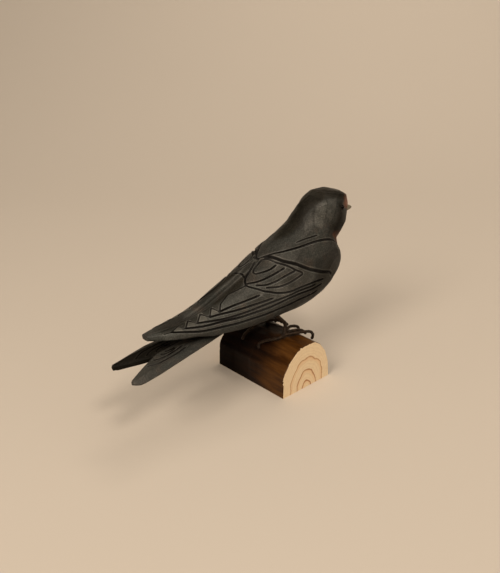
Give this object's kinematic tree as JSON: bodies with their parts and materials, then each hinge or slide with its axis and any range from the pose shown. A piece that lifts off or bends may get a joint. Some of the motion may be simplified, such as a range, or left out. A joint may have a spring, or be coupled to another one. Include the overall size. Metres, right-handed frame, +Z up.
{
  "type": "carved wooden swallow",
  "caption": "Carved and painted wooden swallow with folded wings, forked tail and wire legs, standing on a short half log as a shelf or table figure",
  "frame": {"origin": "middle of the half log's flat underside", "axes": "+X the way the swallow looks, +Y the swallow's left side and the log's length, +Z up"},
  "size_m": [0.1798, 0.0564, 0.1082],
  "materials": {
    "swallow": "thin charcoal paint over knife-cut wood, brown where it is worn, rusty on the forehead and throat, pale on the belly",
    "right_eye": "glossy black bead",
    "left_eye": "glossy black bead",
    "right_leg": "wire coated dark brown, worn",
    "left_leg": "wire coated dark brown, worn",
    "half_log": "dark brown stained knife-cut back, bare pale sawn ends with growth rings"
  },
  "bodies": {
    "root": {"swallow": "swallow", "right_eye": "right_eye", "left_eye": "left_eye", "right_leg": "right_leg", "left_leg": "left_leg", "half_log": "half_log"}
  },
  "joints": []
}
